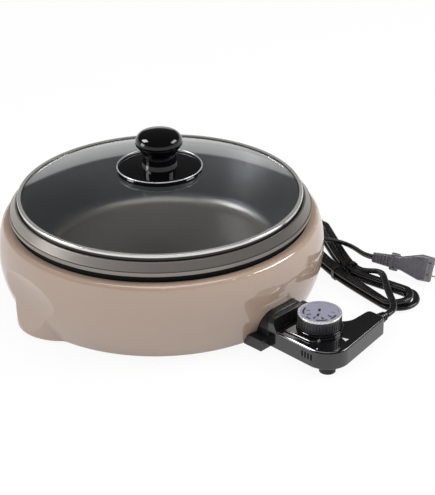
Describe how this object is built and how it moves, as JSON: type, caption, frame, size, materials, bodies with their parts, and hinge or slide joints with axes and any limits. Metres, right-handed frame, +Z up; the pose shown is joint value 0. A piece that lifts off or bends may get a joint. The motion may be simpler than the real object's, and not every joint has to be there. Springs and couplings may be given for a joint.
{
  "type": "electric grill pot",
  "caption": "Round countertop grill pot with a lift-out pan, a lift-off glass lid, a ring heater and a plug-in dial control on a tied mains cord.",
  "frame": {"origin": "on the table under the middle of the round housing, in the plane of the feet's undersides", "axes": "+Z up along the axis of pan and lid, -Y towards the plug-in control, +X towards its cord tail"},
  "size_m": [0.394, 0.4223, 0.1751],
  "materials": {
    "housing": "glossy taupe",
    "black_plastic": "satin black",
    "gloss_black": "gloss black",
    "pan_coat": "dark non-stick coat",
    "steel": "bright steel",
    "sheet_steel": "plain sheet",
    "bright_sheet": "bright rolled sheet",
    "heater_sheath": "heat-darkened",
    "ceramic": "unglazed",
    "brass": "plain",
    "blade": "nickel plated",
    "rubber": "matt",
    "cord": "satin",
    "glass": "clear",
    "bright_ring": "bright plated",
    "dial_grey": "printed grey"
  },
  "bodies": {
    "base": {"housing": "housing", "base_plate": "sheet_steel", "foot_1": "rubber", "foot_2": "rubber", "foot_3": "rubber", "foot_4": "rubber", "base_screws": "steel", "guard_ring": "black_plastic", "reflector": "bright_sheet", "reflector_post_1": "sheet_steel", "reflector_post_2": "sheet_steel", "reflector_post_3": "sheet_steel", "heater": "heater_sheath", "heater_support_1": "sheet_steel", "heater_support_2": "sheet_steel", "heater_support_3": "sheet_steel", "heater_insulators": "ceramic", "terminal_pins": "brass", "terminal_block": "black_plastic"},
    "pan": {"pan": "pan_coat"},
    "lid": {"lid_rim": "steel", "lid_glass": "glass", "knob_disc": "gloss_black", "knob": "gloss_black", "knob_screw": "steel", "knob_washer": "steel"},
    "controller": {"controller_upper": "black_plastic", "controller_lower": "black_plastic", "controller_screws": "steel", "controller_foot": "rubber", "contact_carrier": "black_plastic", "contact_sleeves": "brass", "probe": "steel", "thermostat": "ceramic", "dial_collar": "gloss_black", "strain_relief": "rubber", "cord_lead": "cord", "cord_hank": "cord", "cord_plug_lead": "cord", "hank_tie": "black_plastic", "plug_body": "cord", "plug_blade_1": "blade", "plug_blade_2": "blade"},
    "dial": {"dial_knob": "black_plastic", "dial_ring": "bright_ring", "dial_face": "dial_grey", "dial_shaft": "steel"}
  },
  "joints": [
    {"name": "pan_lift", "type": "slide", "parent": "base", "child": "pan", "axis": [0, 0, 1], "range_m": [0, 0.12]},
    {"name": "lid_lift", "type": "slide", "parent": "pan", "child": "lid", "axis": [0, 0, 1], "range_m": [0, 0.1]},
    {"name": "controller_unplug", "type": "slide", "parent": "base", "child": "controller", "axis": [0, -1, 0], "range_m": [0, 0.09]},
    {"name": "dial_turn", "type": "hinge", "parent": "controller", "child": "dial", "pos_m": [0.007, -0.2105, 0.045], "axis": [0, 0, -1], "range_deg": [0, 270]}
  ]
}
